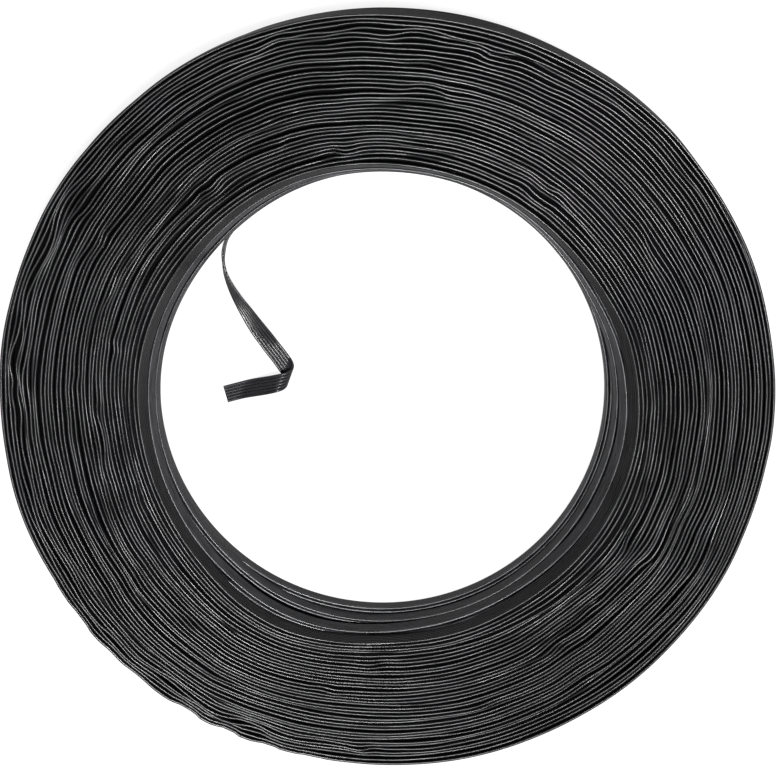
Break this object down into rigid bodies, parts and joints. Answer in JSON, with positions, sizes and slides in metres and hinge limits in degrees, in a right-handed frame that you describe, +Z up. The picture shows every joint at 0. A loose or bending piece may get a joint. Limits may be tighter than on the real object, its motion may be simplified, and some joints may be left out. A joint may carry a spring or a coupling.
{
  "type": "roll of flat parallel wire",
  "caption": "Flat ring-shaped roll of black ribbon wire, insulated conductors bonded side by side and wound on edge, with the inner end twisted flat, folded over and cut square.",
  "frame": {"origin": "centre of the eye, on the plane that the roll lies on", "axes": "+Z up through the eye, along the axis the ribbon is wound round"},
  "size_m": [0.2064, 0.2064, 0.0198],
  "materials": {
    "black_insulation": "satin extruded PVC",
    "tinned_copper": "bright tinned strands"
  },
  "bodies": {
    "root": {"roll": "black_insulation", "free_end": "black_insulation", "conductor_1": "tinned_copper", "conductor_2": "tinned_copper", "conductor_3": "tinned_copper", "conductor_4": "tinned_copper", "conductor_5": "tinned_copper", "conductor_6": "tinned_copper"}
  },
  "joints": []
}
